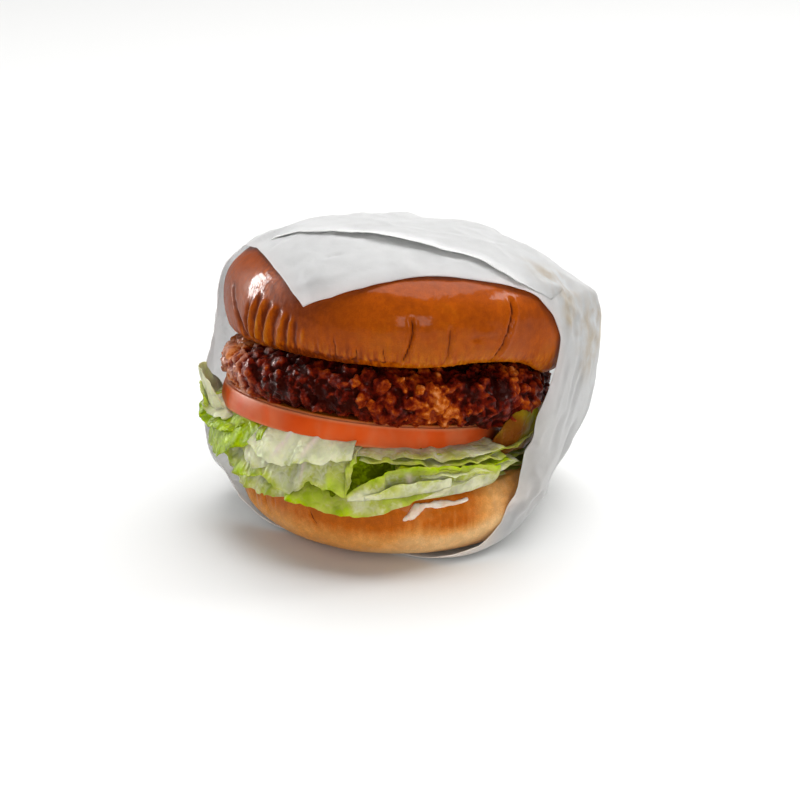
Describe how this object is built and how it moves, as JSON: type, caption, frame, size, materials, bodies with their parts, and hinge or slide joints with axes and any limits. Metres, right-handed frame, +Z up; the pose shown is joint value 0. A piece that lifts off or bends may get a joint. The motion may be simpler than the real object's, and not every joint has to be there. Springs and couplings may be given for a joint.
{
  "type": "chicken burger",
  "caption": "Fried chicken burger in a folded paper wrap open at the front: crown, crisp fillet, tomato slice, lettuce and heel.",
  "frame": {"origin": "middle of the bounding box on the surface the wrapped burger rests on", "axes": "+Z up, -Y out of the wrap's open front, +X to the right seen from the open front"},
  "size_m": [0.1144, 0.1176, 0.0949],
  "materials": {
    "bun_crust": "glossy orange-brown baked crust",
    "bun_pale_crust": "golden baked crust, paler to the right",
    "fried_crust": "dark red-brown craggy fried coating with an oily shine",
    "tomato_red": "moist salmon-red",
    "lettuce_leaf": "crisp yellow-green leaf with whitish ribs",
    "wrap_paper": "thin white greaseproof paper"
  },
  "bodies": {
    "root": {"bun_crown": "bun_crust", "bun_heel": "bun_pale_crust", "chicken_fillet": "fried_crust", "tomato_slice": "tomato_red", "lettuce": "lettuce_leaf", "paper_wrap": "wrap_paper"}
  },
  "joints": []
}
